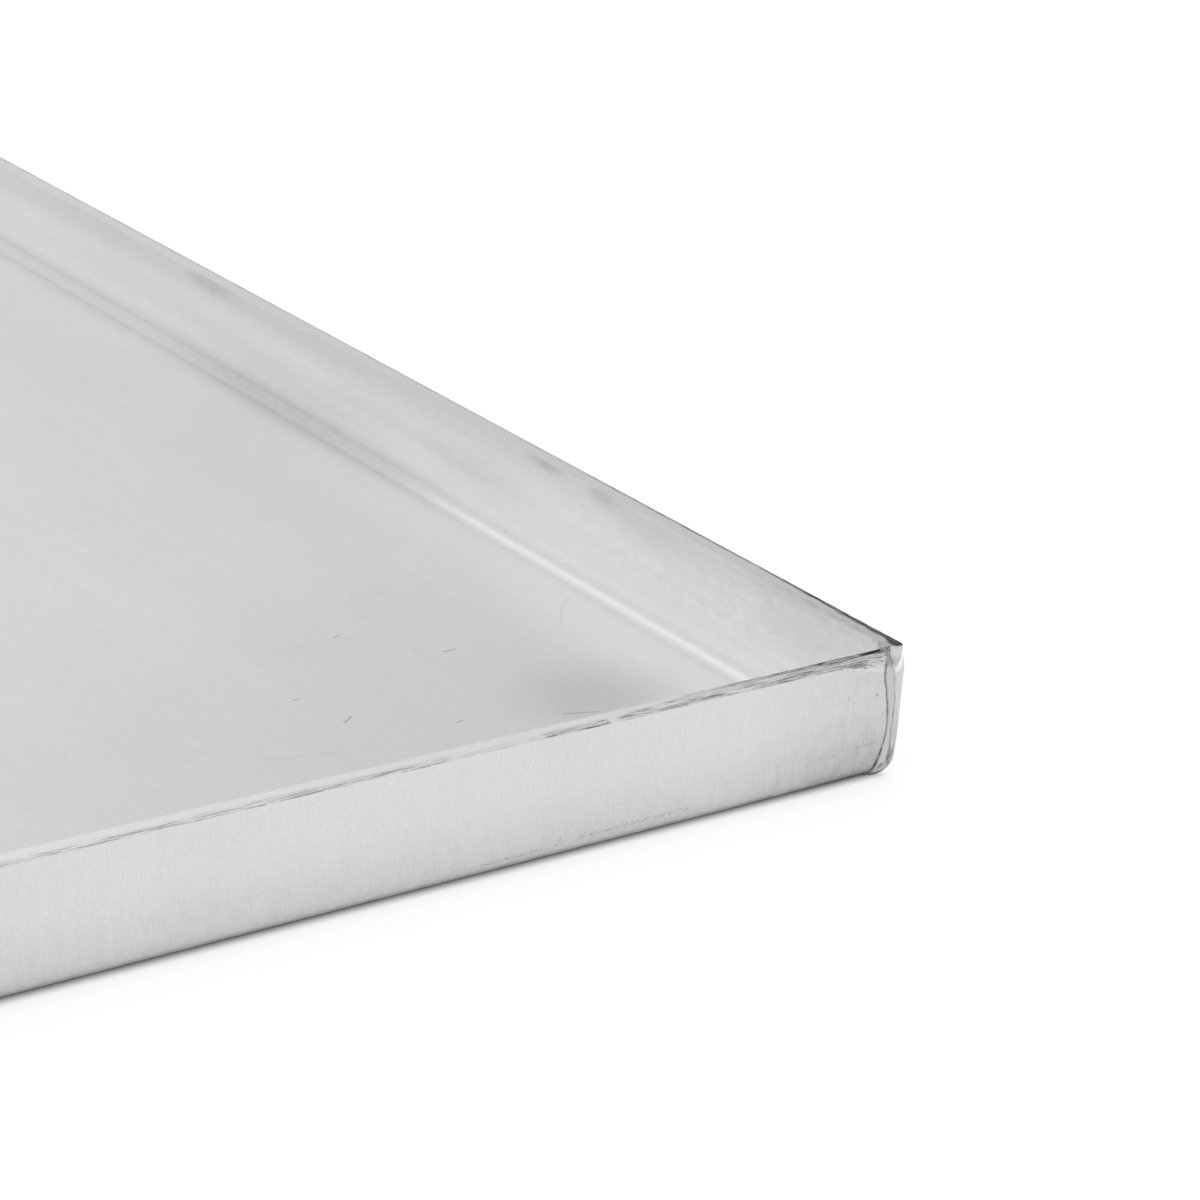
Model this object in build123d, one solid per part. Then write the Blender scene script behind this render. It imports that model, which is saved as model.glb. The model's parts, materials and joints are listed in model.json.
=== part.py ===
from build123d import *
import os

os.makedirs("parts", exist_ok=True)

# Lengths are in millimetres. The tray lies flat, its underside centred on the origin.
# X runs along the short sides, Y along the long sides, and the front is at -Y.

# Outside sizes of the tray
tray_width = 300.0
tray_length = 400.0
wall_height = 10.0
sheet_thickness = 1.5

# Folds between the floor and the four walls
fold_inside_radius = 1.0
fold_outside_radius = fold_inside_radius + sheet_thickness

# Upright corners, ground a little rounder than the folds
corner_extra_radius = 0.15
corner_outside_radius = fold_outside_radius + corner_extra_radius
corner_inside_radius = fold_inside_radius + corner_extra_radius

# Weld bead in each corner. A long wall runs past the end of the short wall, and the bead
# fills the gap between them. The seams are measured along the short wall from its sharp corner.
seam_height_shares = [0.0, 0.16, 0.28, 0.44, 0.62, 0.82, 1.0]
short_wall_seam_shares = [1.17, 1.13, 0.95, 0.87, 0.94, 1.10, 1.08]
long_wall_seam_shares = [0.80, 0.80, 0.71, 0.71, 0.68, 0.80, 0.98]

# Root of the bead, at the inside of the corner
root_short_wall_share = 0.87
root_long_wall_share = 0.70

# Foot of the bead, which fills the relief notch where the two folds meet
foot_above_floor = 0.15
foot_height = sheet_thickness + foot_above_floor
foot_reach = max(short_wall_seam_shares[:2]) * corner_outside_radius

# How far a cutting shape runs past what it cuts
overrun = 1.0


def rounded_block(width, length, corner_radius, fold_radius, bottom, top):
    """A block with rounded upright corners and a rounded lower edge."""
    with BuildPart() as block:
        with BuildSketch(Plane.XY.offset(bottom)):
            RectangleRounded(width, length, corner_radius)
        extrude(amount=top - bottom)
        fillet(block.edges().group_by(Axis.Z)[0], fold_radius)
    return block.part


def tray_shell():
    """The whole tray as one even wall, before it is divided into sheet and welds."""
    outside = rounded_block(
        tray_width,
        tray_length,
        corner_outside_radius,
        fold_outside_radius,
        0,
        wall_height,
    )
    inside = rounded_block(
        tray_width - 2 * sheet_thickness,
        tray_length - 2 * sheet_thickness,
        corner_inside_radius,
        fold_inside_radius,
        sheet_thickness,
        wall_height + overrun,
    )
    return outside - inside


def bead_section(height, short_seam, long_seam):
    """Level cut through the bead of the front right corner: a wedge that narrows to its root."""
    corner_x = tray_width / 2
    corner_y = -tray_length / 2
    root_depth = sheet_thickness + corner_inside_radius
    points = [
        (corner_x - short_seam, corner_y - overrun),
        (corner_x - long_seam, corner_y - overrun),
        (corner_x - long_seam, corner_y),
        (corner_x - root_long_wall_share * corner_outside_radius, corner_y + root_depth),
        (corner_x - root_short_wall_share * corner_outside_radius, corner_y + root_depth),
        (corner_x - short_seam, corner_y),
    ]
    return Plane.XY.offset(height) * make_face(Polyline(points, close=True))


def bead_zone():
    """Space that belongs to the weld of the front right corner, bead and foot together."""
    sections = []
    for height_share, short_share, long_share in zip(
        seam_height_shares, short_wall_seam_shares, long_wall_seam_shares
    ):
        short_seam = short_share * corner_outside_radius
        long_seam = long_share * corner_outside_radius
        sections.append(bead_section(height_share * wall_height, short_seam, long_seam))
    bead = loft(sections, ruled=True)
    foot = Box(
        foot_reach + overrun,
        foot_reach + overrun,
        foot_height + overrun,
        align=(Align.MIN, Align.MAX, Align.MAX),
    )
    foot_corner = (tray_width / 2 - foot_reach, -tray_length / 2 + foot_reach, foot_height)
    return bead + Pos(*foot_corner) * foot


def save(node, shape):
    """Writes one node and prints its size."""
    export_step(shape, os.path.join("parts", node + ".step"))
    print(node, len(shape.solids()), "solid", round(shape.volume, 2), "mm3")


def main():
    shell = tray_shell()
    front_right = bead_zone()
    front_left = mirror(front_right, about=Plane.YZ)
    zones = {
        "weld_front_right": front_right,
        "weld_front_left": front_left,
        "weld_back_right": mirror(front_right, about=Plane.XZ),
        "weld_back_left": mirror(front_left, about=Plane.XZ),
    }
    sheet = shell
    for node, zone in zones.items():
        sheet = sheet - zone
        save(node, shell & zone)
    save("folded_sheet", sheet)


main()
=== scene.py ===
import json
import math

import bmesh
import bpy
import numpy as np
from mathutils import Matrix, Vector, noise


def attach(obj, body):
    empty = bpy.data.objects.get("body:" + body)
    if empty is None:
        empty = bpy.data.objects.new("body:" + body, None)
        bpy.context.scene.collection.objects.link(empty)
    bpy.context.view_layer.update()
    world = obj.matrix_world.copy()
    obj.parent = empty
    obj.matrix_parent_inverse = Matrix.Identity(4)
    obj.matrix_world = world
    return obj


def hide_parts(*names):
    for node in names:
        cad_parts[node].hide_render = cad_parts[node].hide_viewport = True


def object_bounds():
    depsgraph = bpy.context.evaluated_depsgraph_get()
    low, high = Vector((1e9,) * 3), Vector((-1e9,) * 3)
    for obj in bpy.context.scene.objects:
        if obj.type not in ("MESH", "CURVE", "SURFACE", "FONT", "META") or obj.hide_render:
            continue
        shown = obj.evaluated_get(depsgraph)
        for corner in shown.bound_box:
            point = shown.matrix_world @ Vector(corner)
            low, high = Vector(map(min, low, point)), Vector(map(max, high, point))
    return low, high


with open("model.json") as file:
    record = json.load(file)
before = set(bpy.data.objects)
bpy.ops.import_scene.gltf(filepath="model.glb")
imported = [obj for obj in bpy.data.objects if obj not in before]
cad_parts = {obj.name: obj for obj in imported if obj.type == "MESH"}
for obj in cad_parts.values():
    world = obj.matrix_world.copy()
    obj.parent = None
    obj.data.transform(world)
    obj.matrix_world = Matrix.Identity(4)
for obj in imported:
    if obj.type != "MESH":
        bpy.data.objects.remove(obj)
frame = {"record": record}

# Lengths in the scene are in metres, and MM turns a size in millimetres into metres.
MM = 0.001

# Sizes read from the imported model
cad_low, cad_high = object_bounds()
WIDTH = cad_high.x - cad_low.x
LENGTH = cad_high.y - cad_low.y
HEIGHT = cad_high.z - cad_low.z
SHEET = next(m["pos_m"][2] for m in frame["record"]["mounts"] if m["name"] == "baking_surface")

# Folds of the sheet
FOLD_INSIDE = 1.0 * MM
FOLD_OUTSIDE = FOLD_INSIDE + SHEET

# Dressed corners: radius seen from above outside and inside, and the fuller fold under the corner
CORNER_OUTSIDE = 1.95 * MM
CORNER_INSIDE = 1.15 * MM
CORNER_LEAST = 0.15 * MM
CORNER_FOLD = 1.90 * MM
FOLD_BLEND = 1.2 * MM

# Rim: round-over of the sheared edge, its least size on a long wall at a corner, and its inner edge's
EDGE_ROUND = 0.06 * MM
CORNER_EDGE_ROUND = 0.03 * MM
LIP_ROUND = 0.015 * MM

# The sheet is made of four corner patches, four sides between them, and two flat middles
PATCH = 12.0 * MM

# Corner in the photograph: at the right end of the front wall
SHOWN = (1, -1)
CORNERS = {
    "front_right": (1, -1),
    "front_left": (-1, -1),
    "back_right": (1, 1),
    "back_left": (-1, 1),
}
SEEDS = {signs: 3.7 + 11.9 * i for i, signs in enumerate(CORNERS.values())}


def steps(first, last, count):
    """Evenly spaced values from first to last, both included."""
    return [first + (last - first) * i / count for i in range(count + 1)]


def smooth(low, high, x):
    """0 below low, 1 above high and an even curve between."""
    t = min(1.0, max(0.0, (x - low) / (high - low)))
    return t * t * (3 - 2 * t)


def table_value(points, x):
    """Value at x on the smooth line through the points."""
    if x <= points[0][0]:
        return points[0][1]
    for (x0, y0), (x1, y1) in zip(points, points[1:]):
        if x <= x1:
            return y0 + (y1 - y0) * smooth(x0, x1, x)
    return points[-1][1]


def wobble(*place):
    """Smooth noise from about -1 to 1 at a place."""
    return noise.noise(Vector(place))


# Seams of the weld: distance from the sharp corner along the short wall, by height, in millimetres
SHORT_SEAM = [
    (0.0, 2.78), (1.0, 2.74), (1.5, 2.72), (2.0, 2.66), (2.4, 2.50), (2.8, 2.42), (3.4, 2.26),
    (3.9, 2.17), (4.4, 2.14), (5.0, 2.15), (5.6, 2.20), (6.3, 2.31), (6.8, 2.43), (7.4, 2.52),
    (8.2, 2.75), (8.9, 2.87), (9.4, 2.86), (10.0, 2.88),
]
LONG_SEAM = [
    (0.0, 2.10), (1.2, 1.95), (1.8, 1.78), (2.2, 1.60), (2.9, 1.54), (3.6, 1.58), (4.2, 1.60),
    (5.0, 1.51), (5.8, 1.48), (6.5, 1.50), (7.2, 1.70), (8.0, 1.86), (8.7, 2.00), (9.3, 2.34),
    (9.9, 2.62), (10.0, 2.68),
]
SHORT_SEAM_STRENGTH = [
    (0.0, 1.0), (3.0, 1.0), (4.0, 0.72), (5.0, 0.62), (6.3, 0.75), (8.0, 0.9), (10.0, 0.7),
]
LONG_SEAM_STRENGTH = [
    (0.0, 0.7), (1.7, 0.80), (4.0, 0.52), (5.0, 0.44), (6.5, 0.46), (7.2, 0.24), (8.2, 0.30), (10.0, 0.3),
]
SEAM_HALF = 0.060
SEAM_DEPTH = 0.075
SEAM_LEAN = 0.93
SEAM_RADIUS = 2.05

# Body of the weld inside the corner: how far it reaches past the skins, its width at the root, and where
# its long side turns: near the skin on the wall, further in by TURN_RISE under the rim
ZONE_OVER = 0.6
ZONE_DEPTH = SHEET / MM + 1.3
ROOT_SHORT = 2.30
ROOT_LONG = 1.75
TURN_WALL, TURN_RISE = 0.45, 1.05
TOP_WEDGE = (0.75, 1.85)

# Nub that the weld leaves at the corner's foot: centre and half-sizes, and the ring on it
NUB_CENTRE = (1.30, 1.30, -0.10)
NUB_HALF = (1.78, 2.00, 2.40)
RING_CENTRE = (1.85, 1.28)
RING_HALF = (0.46, 0.26)


def seam_places(z, signs):
    """Where the two seams are at a height, both in millimetres: distances along the short wall."""
    seed = SEEDS[signs]
    own = 0.0 if signs == SHOWN else 1.0
    short = table_value(SHORT_SEAM, z) + 0.022 * wobble(seed, 5.0, z * 4.5)
    long = table_value(LONG_SEAM, z) + 0.022 * wobble(seed, 14.0, z * 4.5)
    short += own * 0.22 * wobble(seed, 0.0, z * 0.55)
    long += own * 0.22 * wobble(seed, 9.0, z * 0.55)
    return short, min(long, short - 0.12)


def lean(z):
    """0 on the wall, 1 over the ground top, where the seams run diagonally to the inner corner."""
    return smooth(8.3, 9.0, z)


def nub_level(u, v, z, signs):
    """Below 1 inside the nub. Places are in millimetres from the outer planes."""
    seed = SEEDS[signs]
    d = [(p - c) / h for p, c, h in zip((u, v, z), NUB_CENTRE, NUB_HALF)]
    reach = math.sqrt(sum(x * x for x in d))
    return reach / (1 + 0.06 * wobble(seed + u * 1.6, v * 1.6, z * 1.6))


def crack_depth(u, v, z, signs):
    """0 to 1: how deep the nearest seam, or the ring on the nub, is cut in the outer skin."""
    seams = zip(seam_places(z, signs), (SHORT_SEAM_STRENGTH, LONG_SEAM_STRENGTH))
    seed = SEEDS[signs]
    level = nub_level(u, v, z, signs)
    best = 0.0
    if v < 1.0 or (z > 8.6 and v < 1.62):
        u = u + SEAM_LEAN * v * lean(z)
        slope = 1.0 / max(0.3, math.sin(math.acos(max(0.0, min(0.95, 1 - u / SEAM_RADIUS)))))
        for number, (place, strength) in enumerate(seams):
            inside = smooth(1.0, 1.05, level) if number else smooth(0.62, 0.70, level)
            d = abs(u - place) * slope / (SEAM_HALF * (1 + 0.8 * (1 - smooth(1.2, 3.4, z))))
            power = table_value(strength, z) * (0.85 + 0.5 * wobble(seed, 21.0 + number, z * 2.2))
            best = max(best, min(1.0, power) * inside * math.exp(-0.5 * d * d))
    if z < 2.4 and u < 3.1 and v < 3.1:
        d = (level - 1.0) * 1.6 / SEAM_HALF
        rim = 0.55 + 0.45 * wobble(seed, u * 2.0, v * 2.0 + z)
        best = max(best, 0.75 * rim * math.exp(-0.5 * d * d))
        ring = math.hypot((u - RING_CENTRE[0]) / RING_HALF[0], (z - RING_CENTRE[1]) / RING_HALF[1])
        d = (ring - 1.0) * 0.33 / SEAM_HALF
        if v < 1.2:
            best = max(best, 0.75 * math.exp(-0.5 * d * d))
    return best


# Radius ground on the short wall's rim and across the corner, by distance from the corner, and how far in
# from the wall's outer plane it is looked for, in millimetres
GROUND_SHORT = [(0.0, 1.38), (1.6, 1.50), (2.9, 1.12), (4.5, 0.74), (6.0, 0.36), (7.4, 0.10), (8.5, 0.0)]
GROUND_MOST = 1.6


def least_round(v, signs):
    """Least round-over of a long wall's rim at a distance from a corner, in metres."""
    shift = 0.0 if signs == SHOWN else 1.2 * wobble(SEEDS[signs], 30.0, 0.0)
    part = 1 - smooth(4.0 + shift, 11.0 + shift, max(v, 0.0))
    return EDGE_ROUND + part * (CORNER_EDGE_ROUND - EDGE_ROUND)


def grind(u, v, z, signs, deep=0.0):
    """The nearest place on the round-over ground on a short wall's rim, for a place beyond it, or None."""
    shift = 0.0 if signs == SHOWN else 0.8 * wobble(SEEDS[signs], 30.0, 0.0)
    radius = table_value(GROUND_SHORT, u / MM + shift) * MM
    across, up = radius - v, z - (HEIGHT - radius)
    reach = math.hypot(across, up)
    if across > 0 and up > 0 and reach > radius:
        part = (radius - deep) / reach
        return u, radius - across * part, HEIGHT - radius + up * part
    return None


# How rough and dark the front rim's outer band is, by distance from the shown corner, and how wide it is
FRONT_BAND = [
    (0.0, 1.0), (26.2, 1.0), (26.5, 0.0), (27.0, 0.0), (27.3, 1.0), (32.2, 1.0), (32.7, 0.1),
    (33.6, 0.5), (34.0, 0.1), (35.6, 0.35), (38.4, 0.3), (40.0, 0.1), (40.3, 0.9), (60.0, 0.8), (70.0, 0.7),
]
FRONT_BAND_WIDTH = [(0.0, 1.4), (18.0, 1.35), (24.0, 0.85), (27.0, 0.70), (40.0, 0.60), (70.0, 0.55)]


def rim_band(short, sign, u, v):
    """(roughness 0 to 1, width in millimetres) of the torn band along the rim's outer side."""
    along = u if short else v
    key = (3.0 if short else 7.0) + sign
    if short and sign == SHOWN[1] and u < 75:
        amount = table_value(FRONT_BAND, along)
        width = table_value(FRONT_BAND_WIDTH, along)
    elif short:
        amount = smooth(-0.35, 0.05, wobble(key, along * 0.11, 1.0))
        width = 0.65 + 0.3 * wobble(key, along * 0.07, 2.0) + 0.6 * (1 - smooth(8, 26, along))
    else:
        amount = 0.55 + 0.45 * (1 - smooth(4, 45, along)) + 0.25 * wobble(key, along * 0.15, 1.0)
        width = 0.30 + 0.10 * wobble(key, along * 0.2, 2.0) + 0.14 * (1 - smooth(3, 12, along))
    return max(0.0, min(1.0, amount)), max(0.1, width)


def stations():
    """Stations round the wall's section: (skin, place on it, whether the straight sides have it too)."""
    out = [("under", inset * MM, inset in (8.0, 2.9)) for inset in (8.0, 5.0, 3.6, 2.9)]
    out += [("fold", a, i % 2 == 0) for i, a in enumerate(steps(0, math.pi / 2, 12))]
    wall = steps(FOLD_OUTSIDE, HEIGHT - 1.5 * MM, 30)[1:]
    out += [("wall", z, i % 4 == 0) for i, z in enumerate(wall)]
    top = steps(-1.4, -0.2, 12) + [-0.12, -0.06, -0.03, 0.0, 0.03, 0.06, 0.12] + steps(0.2, 1.38, 12)
    for i, s in enumerate(top):
        out.append(("top", s * MM, abs(s) < 0.13 or (s > 0.13 and i % 2 == 0) or i in (6, 12)))
    out += [("lip", s * MM, True) for s in (-0.07, -0.035, 0.0, 0.035, 0.07)]
    inner = steps(HEIGHT - 0.25 * MM, SHEET + FOLD_INSIDE + 0.1 * MM, 18) + [SHEET + FOLD_INSIDE]
    out += [("inner", z, i in (0, 4, 8, 12, 16, 18, 19)) for i, z in enumerate(inner)]
    out += [("inner_fold", a, True) for a in steps(0, math.pi / 2, 8)[1:]]
    out += [("floor", inset * MM, inset in (8.0, 2.7)) for inset in (2.7, 3.2, 4.2, 5.6, 8.0)]
    return out


STATIONS = stations()
SIDE_ROWS = [i for i, s in enumerate(STATIONS) if s[2]]


def round_over(s, radius):
    """(inset, height) on the rim's outer corner, a distance s along it, with the corner rounded."""
    if s <= -radius:
        return 0.0, HEIGHT + s
    if s >= radius:
        return s, HEIGHT
    a = (s + radius) / (2 * radius) * math.pi / 2
    return radius * (1 - math.cos(a)), HEIGHT - radius * (1 - math.sin(a))


def station_point(station, fold, ground, lip):
    """(inset, height, plan radius at a corner) of a station."""
    skin, place, _ = station
    if skin == "under":
        inset, z = place, 0.0
    elif skin == "fold":
        inset, z = fold * (1 - math.sin(place)), fold * (1 - math.cos(place))
    elif skin == "wall":
        inset, z = 0.0, place
    elif skin == "top":
        inset, z = round_over(place, ground)
    elif skin == "lip":
        back, z = round_over(-place, lip)
        inset = SHEET - back
    elif skin == "inner":
        inset, z = SHEET, place
    elif skin == "inner_fold":
        inset = SHEET + FOLD_INSIDE * (1 - math.cos(place))
        z = SHEET + FOLD_INSIDE * (1 - math.sin(place))
    else:
        inset, z = place, SHEET
    if skin in ("under", "fold", "wall"):
        radius = max(CORNER_OUTSIDE - inset, CORNER_LEAST)
    elif skin in ("top", "lip"):
        radius = CORNER_OUTSIDE + (CORNER_INSIDE - CORNER_OUTSIDE) * inset / SHEET
    else:
        radius = max(CORNER_INSIDE - (inset - SHEET), CORNER_LEAST)
    return inset, z, radius


def on_rim(z):
    """1 on the rim's face, 0 a little below it."""
    return smooth(HEIGHT - 0.30 * MM, HEIGHT - 0.02 * MM, z)


def rim_drop(short, sign, inset, u, v):
    """How far the rim's face lies below the top at a place: the torn band is lower and uneven."""
    amount, width = rim_band(short, sign, u, v)
    along = u if short else v
    key = (3.0 if short else 7.0) + sign
    across = inset / MM
    torn = amount * (1 - smooth(width - 0.08, width + 0.08, across))
    drop = torn * (0.030 + 0.022 * wobble(key, along * 1.3, across * 5.0))
    drop += 0.006 * (1 + wobble(key + 4.0, along * 0.7, across * 2.0))
    return max(0.0, drop) * MM


def edge_rounds(short, sign, u, v):
    """Small round-overs of the rim's outer and inner edges, which vary along the rim."""
    along = u if short else v
    key = (13.0 if short else 17.0) + sign
    outer = EDGE_ROUND * (1.0 + 0.5 * wobble(key, along * 0.8, 0.0))
    inner = LIP_ROUND * (1.0 + 0.5 * wobble(key, along * 0.9, 4.0))
    return outer, inner


def patch_columns():
    """Columns of a corner patch, from the short wall round to the long wall: (kind, place)."""
    def straight(first_gap, growth):
        out, q, gap = [], CORNER_OUTSIDE, first_gap
        while q < PATCH - 0.35 * MM:
            q += gap
            if q > CORNER_OUTSIDE + 1.15 * MM:
                gap = min(gap * growth, 0.3 * MM)
            out.append(min(q, PATCH))
        out[-1] = PATCH
        return out
    arc = steps(0, math.radians(36), 26) + steps(math.radians(39), math.pi / 2, 17)
    short = [("short", q) for q in reversed(straight(0.05 * MM, 1.12))]
    long = [("long", q) for q in straight(0.11 * MM, 1.12)]
    return short + [("arc", a) for a in arc] + long


# Flat that the dressing leaves across a corner, where it meets the outer planes, in corner radii
FACET_SHORT = 0.80
FACET_LONG = [(0.0, 0.55), (8.4, 0.57), (9.4, 0.76), (10.0, 0.80)]
FACET_SOFT, FACET_SHARP = 10.0, 34.0


def facet(angle, z):
    """How far the dressed corner reaches from its centre at an angle and height, in corner radii."""
    far = table_value(FACET_LONG, z / MM)
    size = math.hypot(FACET_SHORT, far)
    nu, nv = far / size, FACET_SHORT / size
    flat = (nu + nv - nu * FACET_SHORT) / (nu * math.sin(angle) + nv * math.cos(angle))
    square = 1.0 / max(math.sin(angle), math.cos(angle))
    power = FACET_SOFT + (FACET_SHARP - FACET_SOFT) * smooth(0.4, 1.2, angle)
    reach = (flat ** -power + square ** -power) ** (-1 / power)
    ends = smooth(0.0, 0.25, angle) * smooth(0.0, 0.10, math.pi / 2 - angle)
    return 1.0 + (reach - 1.0) * ends


def patch_point(column, inset, radius, flat=0.0, z=0.0):
    """Distances from the two outer planes: from the long wall's and from the short wall's."""
    kind, place = column
    m = inset + radius
    if kind == "arc":
        reach = radius * (1 + flat * (facet(place, z) - 1))
        return m - reach * math.sin(place), m - reach * math.cos(place)
    q = m + (place - CORNER_OUTSIDE) * (PATCH - m) / (PATCH - CORNER_OUTSIDE)
    return (q, inset) if kind == "short" else (inset, q)


def corner_world(signs, u, v, z):
    """Place in the frame of a point given by its distances from a corner's outer planes and its height."""
    sx, sy = signs
    return (sx * (WIDTH / 2 - u), sy * (LENGTH / 2 - v), z)


def corner_column(signs, column):
    """Points of one column of a corner patch, as distances from the outer planes and heights."""
    kind, place = column
    outer_u, outer_v = patch_point(column, 0.0, CORNER_OUTSIDE)
    u_mm, v_mm = outer_u / MM, outer_v / MM
    near_short = kind == "short" or (kind == "arc" and place < math.pi / 4)
    sign = signs[1] if near_short else signs[0]
    away = max(0.0, place - CORNER_OUTSIDE) if kind != "arc" else 0.0
    fold = CORNER_FOLD + (FOLD_OUTSIDE - CORNER_FOLD) * smooth(0.0, FOLD_BLEND, away)
    if kind == "arc":
        seed = SEEDS[signs]
        fold += 0.05 * MM * wobble(seed, place * 2.0, 50.0)
    edge, lip = edge_rounds(near_short, sign, u_mm, v_mm)
    ground = edge if near_short else max(edge, least_round(v_mm, signs))
    points = []
    for station in STATIONS:
        inset, z, radius = station_point(station, fold, ground, lip)
        skin = station[0]
        flat = smooth(1.2 * MM, 3.2 * MM, z) if skin in ("fold", "wall") else float(skin == "top")
        flat *= 1 - smooth(0.0, 1.2 * MM, inset)
        flat_place = (*patch_point(column, inset, radius, flat, z), z)
        ground_place = grind(*flat_place, signs) if skin in ("wall", "top", "lip") else None
        u, v, z = ground_place or flat_place
        if skin in ("fold", "wall", "top") and u < 4 * MM and v < 4 * MM:
            deep = crack_depth(u / MM, v / MM, z / MM, signs) * SEAM_DEPTH
            seed = SEEDS[signs]
            short, long = seam_places(z / MM, signs)
            if (long < u / MM < short and v < 1.0 * MM) or nub_level(u / MM, v / MM, z / MM, signs) < 1:
                deep += 0.02 + 0.02 * wobble(seed + u / MM * 2.2, v / MM * 2.2, z / MM * 1.6)
            deep = max(0.0, deep) * MM
            if ground_place:
                u, v, z = grind(*flat_place, signs, deep)
            elif skin == "top" and z > HEIGHT - 0.02 * MM:
                z -= deep
            elif z > 0.02 * MM:
                shrunk = patch_point(column, inset + deep, max(radius - deep, CORNER_LEAST), flat, z)
                before = patch_point(column, inset, radius, flat, z)
                u += shrunk[0] - before[0]
                v += shrunk[1] - before[1]
        if skin in ("top", "lip"):
            z -= rim_drop(near_short, sign, inset, u / MM, v / MM) * on_rim(z)
        points.append((u, v, z))
    return points


def new_object(name, data):
    ob = bpy.data.objects.new(name, data)
    bpy.context.scene.collection.objects.link(ob)
    return ob


def mesh_object(name, bm, mesh_name=None):
    """New object with the faces of a bmesh, which is freed."""
    mesh = bpy.data.meshes.new(mesh_name or name)
    bm.to_mesh(mesh)
    bm.free()
    return new_object(name, mesh)


def evaluated_mesh(ob):
    """Mesh of an object as its modifiers make it."""
    dg = bpy.context.evaluated_depsgraph_get()
    return bpy.data.meshes.new_from_object(ob.evaluated_get(dg))


def replace_mesh(ob, made):
    """Gives an object new mesh data in place of its own, and drops its modifiers."""
    ob.modifiers.clear()
    old = ob.data
    ob.data = made
    bpy.data.meshes.remove(old)


def boolean(target, cutter, operation):
    """Cuts target by cutter, as new mesh data on the target."""
    mod = target.modifiers.new("cut", "BOOLEAN")
    mod.operation = operation
    mod.solver = "EXACT"
    mod.object = cutter
    for mod.use_self in (False, True):  # the slower way only where the quick one gives nothing
        made = evaluated_mesh(target)
        if made.polygons:
            break
    replace_mesh(target, made)


def corner_patch(signs):
    """Closed block of one corner. Its faces that are only cuts have material index 1."""
    bm = bmesh.new()
    grid = []
    for column in patch_columns():
        points = corner_column(signs, column)
        grid.append([bm.verts.new(corner_world(signs, *p)) for p in points])
    flip = signs[0] * signs[1] > 0

    def face(corners, cut=False):
        f = bm.faces.new(reversed(corners) if flip else corners)
        f.material_index = 1 if cut else 0
        f.smooth = not cut

    for a, b in zip(grid, grid[1:]):
        for i in range(len(STATIONS) - 1):
            face([a[i], b[i], b[i + 1], a[i + 1]])
        face([a[-1], b[-1], b[0], a[0]], cut=True)
    face(grid[0], cut=True)
    face(list(reversed(grid[-1])), cut=True)
    bm.normal_update()
    return mesh_object("corner_patch", bm)


def bead_zone(signs):
    """Closed body between the two seams of one corner."""
    bm = bmesh.new()
    levels = []
    for z in steps(-ZONE_OVER, HEIGHT / MM + ZONE_OVER, 90):
        short, long = seam_places(z, signs)
        bend = lean(z)
        slant = SEAM_LEAN * bend
        turn = TURN_WALL + TURN_RISE * bend
        before = long - slant * turn
        wedge = before + (ROOT_LONG - before) * (TOP_WEDGE[1] - turn) / (ZONE_DEPTH - turn)
        wedge += (TOP_WEDGE[0] - wedge) * bend
        outline = [
            (short + slant * ZONE_OVER, -ZONE_OVER),
            (long + slant * ZONE_OVER, -ZONE_OVER),
            (before, turn),
            (wedge, TOP_WEDGE[1]),
            (ROOT_LONG, ZONE_DEPTH),
            (ROOT_SHORT, ZONE_DEPTH),
            (short - slant * turn, turn),
        ]
        levels.append([bm.verts.new(corner_world(signs, u * MM, v * MM, z * MM)) for u, v in outline])
    for a, b in zip(levels, levels[1:]):
        for i in range(len(a)):
            j = (i + 1) % len(a)
            bm.faces.new([a[i], a[j], b[j], b[i]])
    bm.faces.new(levels[0])
    bm.faces.new(levels[-1])
    bmesh.ops.recalc_face_normals(bm, faces=bm.faces)
    return mesh_object("bead_zone", bm)


def nub_zone(signs):
    """Closed body of the nub at the foot of one corner."""
    bm = bmesh.new()
    bmesh.ops.create_icosphere(bm, subdivisions=4, radius=1.0)
    for vert in bm.verts:
        d = vert.co.normalized()
        place = [c + h * x for c, h, x in zip(NUB_CENTRE, NUB_HALF, d)]
        far = 1.0 / nub_level(*place, signs)
        u, v, z = [c + h * x * far for c, h, x in zip(NUB_CENTRE, NUB_HALF, d)]
        vert.co = corner_world(signs, u * MM, v * MM, z * MM)
    bmesh.ops.recalc_face_normals(bm, faces=bm.faces)
    return mesh_object("nub_zone", bm)


def drop_cuts(ob):
    """Deletes the faces of a corner patch that are only cuts."""
    bm = bmesh.new()
    bm.from_mesh(ob.data)
    cut = [f for f in bm.faces if f.material_index == 1]
    bmesh.ops.delete(bm, geom=cut, context="FACES")
    bm.to_mesh(ob.data)
    bm.free()


def side_places(span, fine):
    """Places along a side from its end near the shown corner, close together as far as fine."""
    out, x = [], 0.0
    while x < span - 0.4 * MM:
        out.append(x)
        x += min(0.30 * MM + 0.05 * max(0.0, x - fine), 2.5 * MM)
    out.append(span)
    return out


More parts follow.
